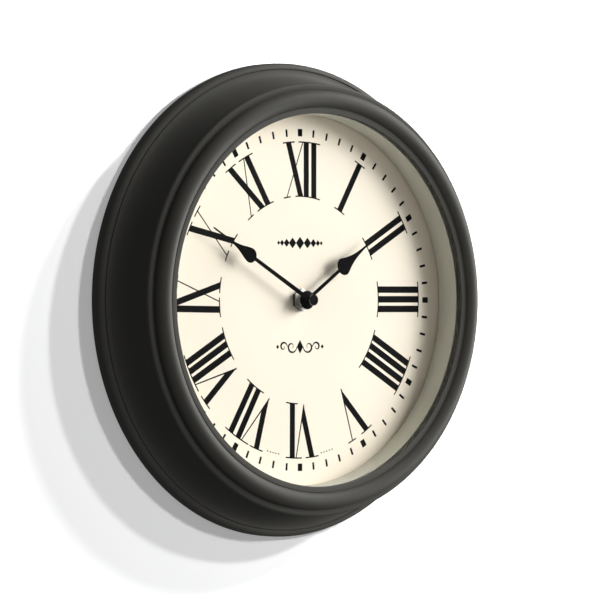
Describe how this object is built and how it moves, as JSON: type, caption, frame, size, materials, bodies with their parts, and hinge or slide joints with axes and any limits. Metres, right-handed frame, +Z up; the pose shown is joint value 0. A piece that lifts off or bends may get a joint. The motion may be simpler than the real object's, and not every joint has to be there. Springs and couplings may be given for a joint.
{
  "type": "wall clock",
  "caption": "Round schoolhouse wall clock with a deep coved case, Roman numeral dial, spade hands and a battery quartz movement.",
  "frame": {"origin": "on the dial's axis, in the wall plane behind the case", "axes": "+Z up the wall, -Y out of the dial towards the viewer, +X to the viewer's right"},
  "size_m": [0.3, 0.0459, 0.3],
  "materials": {
    "charcoal_case": "smooth satin charcoal moulding",
    "clear_glass": "clear flat glass",
    "cream_dial": "warm cream print on board, with black numerals",
    "black_hand": "satin black lacquer",
    "black_plastic": "fine textured black moulding",
    "zinc_steel": "zinc plated",
    "chrome_metal": "bright nickel chrome plate",
    "brass_metal": "turned brass",
    "black_rubber": "matt black rubber",
    "white_acetal": "natural white acetal",
    "copper_wire": "enamelled copper wire, wound in fine turns",
    "green_board": "green solder mask",
    "dark_magnet": "sintered magnet with a moulded pinion",
    "cell_jacket": "plain printed jacket, metal ends"
  },
  "bodies": {
    "clock_case": {"back_cover": "black_plastic", "bezel_ring": "charcoal_case", "bezel_screw_1": "zinc_steel", "bezel_screw_2": "zinc_steel", "bezel_screw_3": "zinc_steel", "bezel_screw_4": "zinc_steel", "case_shell": "charcoal_case", "circuit_board": "green_board", "coil_bobbin": "white_acetal", "coil_core": "zinc_steel", "coil_winding": "copper_wire", "contact_negative": "zinc_steel", "contact_positive": "zinc_steel", "cover_screw_1": "zinc_steel", "cover_screw_2": "zinc_steel", "cover_screw_3": "zinc_steel", "cover_screw_4": "zinc_steel", "dial_plate": "cream_dial", "dial_support_ring": "black_plastic", "dial_washer": "chrome_metal", "fixing_nut": "chrome_metal", "glass_lens": "clear_glass", "hanger_plate": "zinc_steel", "hanger_screw_1": "zinc_steel", "hanger_screw_2": "zinc_steel", "middle_plate": "white_acetal", "movement_front_case": "black_plastic", "movement_rear_cover": "black_plastic", "quartz_crystal": "chrome_metal", "rehaut_ring": "cream_dial", "rubber_washer": "black_rubber", "stator": "zinc_steel", "threaded_bush": "chrome_metal", "timing_chip": "black_plastic"},
    "hour_hand": {"hour_hand": "black_hand", "hour_wheel": "brass_metal"},
    "minute_hand": {"minute_hand": "black_hand", "hand_nut": "black_hand", "cannon_pinion": "brass_metal"},
    "centre_wheel": {"centre_wheel": "white_acetal"},
    "third_wheel": {"third_wheel": "white_acetal"},
    "second_wheel": {"second_wheel": "white_acetal"},
    "intermediate_wheel": {"intermediate_wheel": "white_acetal"},
    "rotor": {"rotor": "dark_magnet"},
    "motion_wheel": {"motion_wheel": "white_acetal"},
    "setting_knob": {"setting_knob": "black_plastic"},
    "battery": {"battery": "cell_jacket"}
  },
  "joints": [
    {"name": "minute_hand_turn", "type": "hinge", "parent": "clock_case", "child": "minute_hand", "pos_m": [0, -0.0204, 0], "axis": [0, 1, 0], "continuous": true},
    {"name": "hour_hand_turn", "type": "hinge", "parent": "clock_case", "child": "hour_hand", "pos_m": [0, -0.0204, 0], "axis": [0, 1, 0], "continuous": true},
    {"name": "motion_wheel_turn", "type": "hinge", "parent": "clock_case", "child": "motion_wheel", "pos_m": [-0.00287, -0.0204, 0.00789], "axis": [0, 1, 0], "continuous": true},
    {"name": "setting_knob_turn", "type": "hinge", "parent": "clock_case", "child": "setting_knob", "pos_m": [0, -0.0204, 0.01579], "axis": [0, 1, 0], "continuous": true},
    {"name": "centre_wheel_turn", "type": "hinge", "parent": "clock_case", "child": "centre_wheel", "pos_m": [0, -0.0204, 0], "axis": [0, 1, 0], "continuous": true},
    {"name": "third_wheel_turn", "type": "hinge", "parent": "clock_case", "child": "third_wheel", "pos_m": [0.00819, -0.0204, 0.00574], "axis": [0, 1, 0], "continuous": true},
    {"name": "second_wheel_turn", "type": "hinge", "parent": "clock_case", "child": "second_wheel", "pos_m": [0, -0.0204, 0], "axis": [0, 1, 0], "continuous": true},
    {"name": "intermediate_wheel_turn", "type": "hinge", "parent": "clock_case", "child": "intermediate_wheel", "pos_m": [-0.00873, -0.0204, 0.00504], "axis": [0, 1, 0], "continuous": true},
    {"name": "rotor_turn", "type": "hinge", "parent": "clock_case", "child": "rotor", "pos_m": [-0.01562, -0.0204, 0.00626], "axis": [0, 1, 0], "continuous": true},
    {"name": "battery_pull", "type": "slide", "parent": "clock_case", "child": "battery", "axis": [0, 1, 0], "range_m": [0, 0.018]}
  ],
  "couplings": [
    {"joint": "hour_hand_turn", "follows": "minute_hand_turn", "ratio": 0.083333},
    {"joint": "motion_wheel_turn", "follows": "minute_hand_turn", "ratio": -0.33333},
    {"joint": "setting_knob_turn", "follows": "minute_hand_turn", "ratio": 1},
    {"joint": "centre_wheel_turn", "follows": "minute_hand_turn", "ratio": 1},
    {"joint": "third_wheel_turn", "follows": "minute_hand_turn", "ratio": -8},
    {"joint": "second_wheel_turn", "follows": "minute_hand_turn", "ratio": 60},
    {"joint": "intermediate_wheel_turn", "follows": "minute_hand_turn", "ratio": -300},
    {"joint": "rotor_turn", "follows": "minute_hand_turn", "ratio": 1800}
  ]
}
